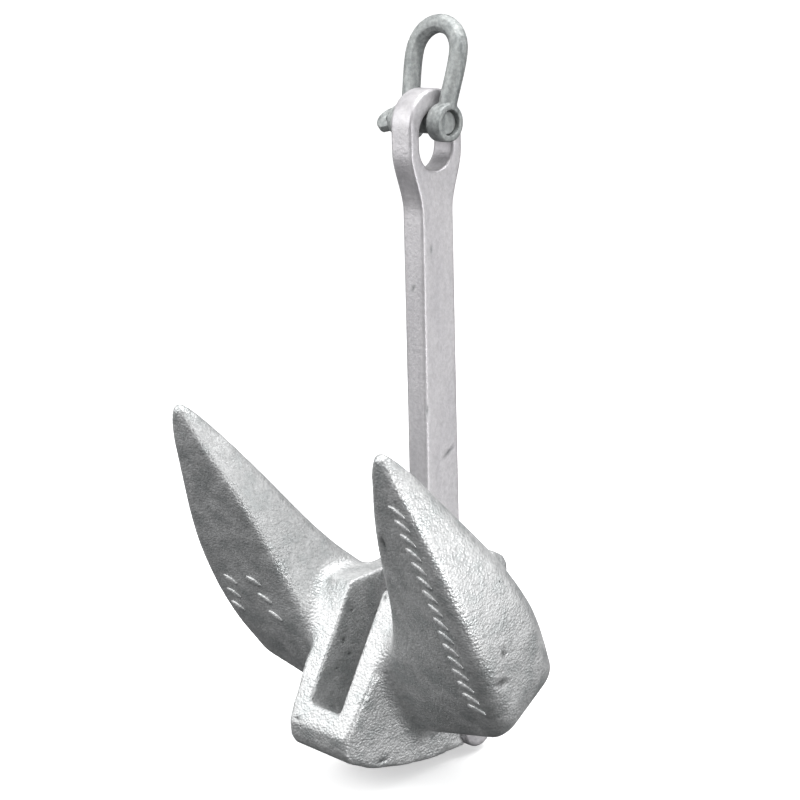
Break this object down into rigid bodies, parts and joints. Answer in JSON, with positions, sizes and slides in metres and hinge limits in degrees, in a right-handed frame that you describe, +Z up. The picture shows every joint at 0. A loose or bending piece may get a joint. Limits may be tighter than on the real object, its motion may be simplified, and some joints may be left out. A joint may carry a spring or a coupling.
{
  "type": "stockless boat anchor",
  "caption": "Galvanised stockless boat anchor with a tilting two-fluke cast head, a flat shank and a bow shackle on its eye.",
  "frame": {"origin": "on the shackle pin's axis in the shank's eye, on the shank's centre line", "axes": "+Z up along the shank from the head to the shackle, X along the trunnion and the shackle pin, with the flukes leaning towards -Y"},
  "size_m": [0.26, 0.1982, 0.5136],
  "materials": {
    "casting": "hot-dip galvanised sand casting",
    "forging": "hot-dip galvanised bar",
    "hardware": "hot-dip galvanised shackle"
  },
  "bodies": {
    "shank": {"shank": "forging"},
    "head": {"head": "casting"},
    "pin": {"shackle_pin": "hardware"},
    "bow": {"shackle_bow": "hardware"}
  },
  "joints": [
    {"name": "head_tilt", "type": "hinge", "parent": "shank", "child": "head", "pos_m": [0, 0, -0.4267], "axis": [-1, 0, 0], "range_deg": [0, 61.2]},
    {"name": "pin_travel", "type": "slide", "parent": "shank", "child": "pin", "axis": [0, 0, -1], "range_m": [0, 0.0235]},
    {"name": "bow_swing", "type": "hinge", "parent": "pin", "child": "bow", "pos_m": [0, 0, 0], "axis": [-1, 0, 0], "range_deg": [-168, 140]}
  ]
}
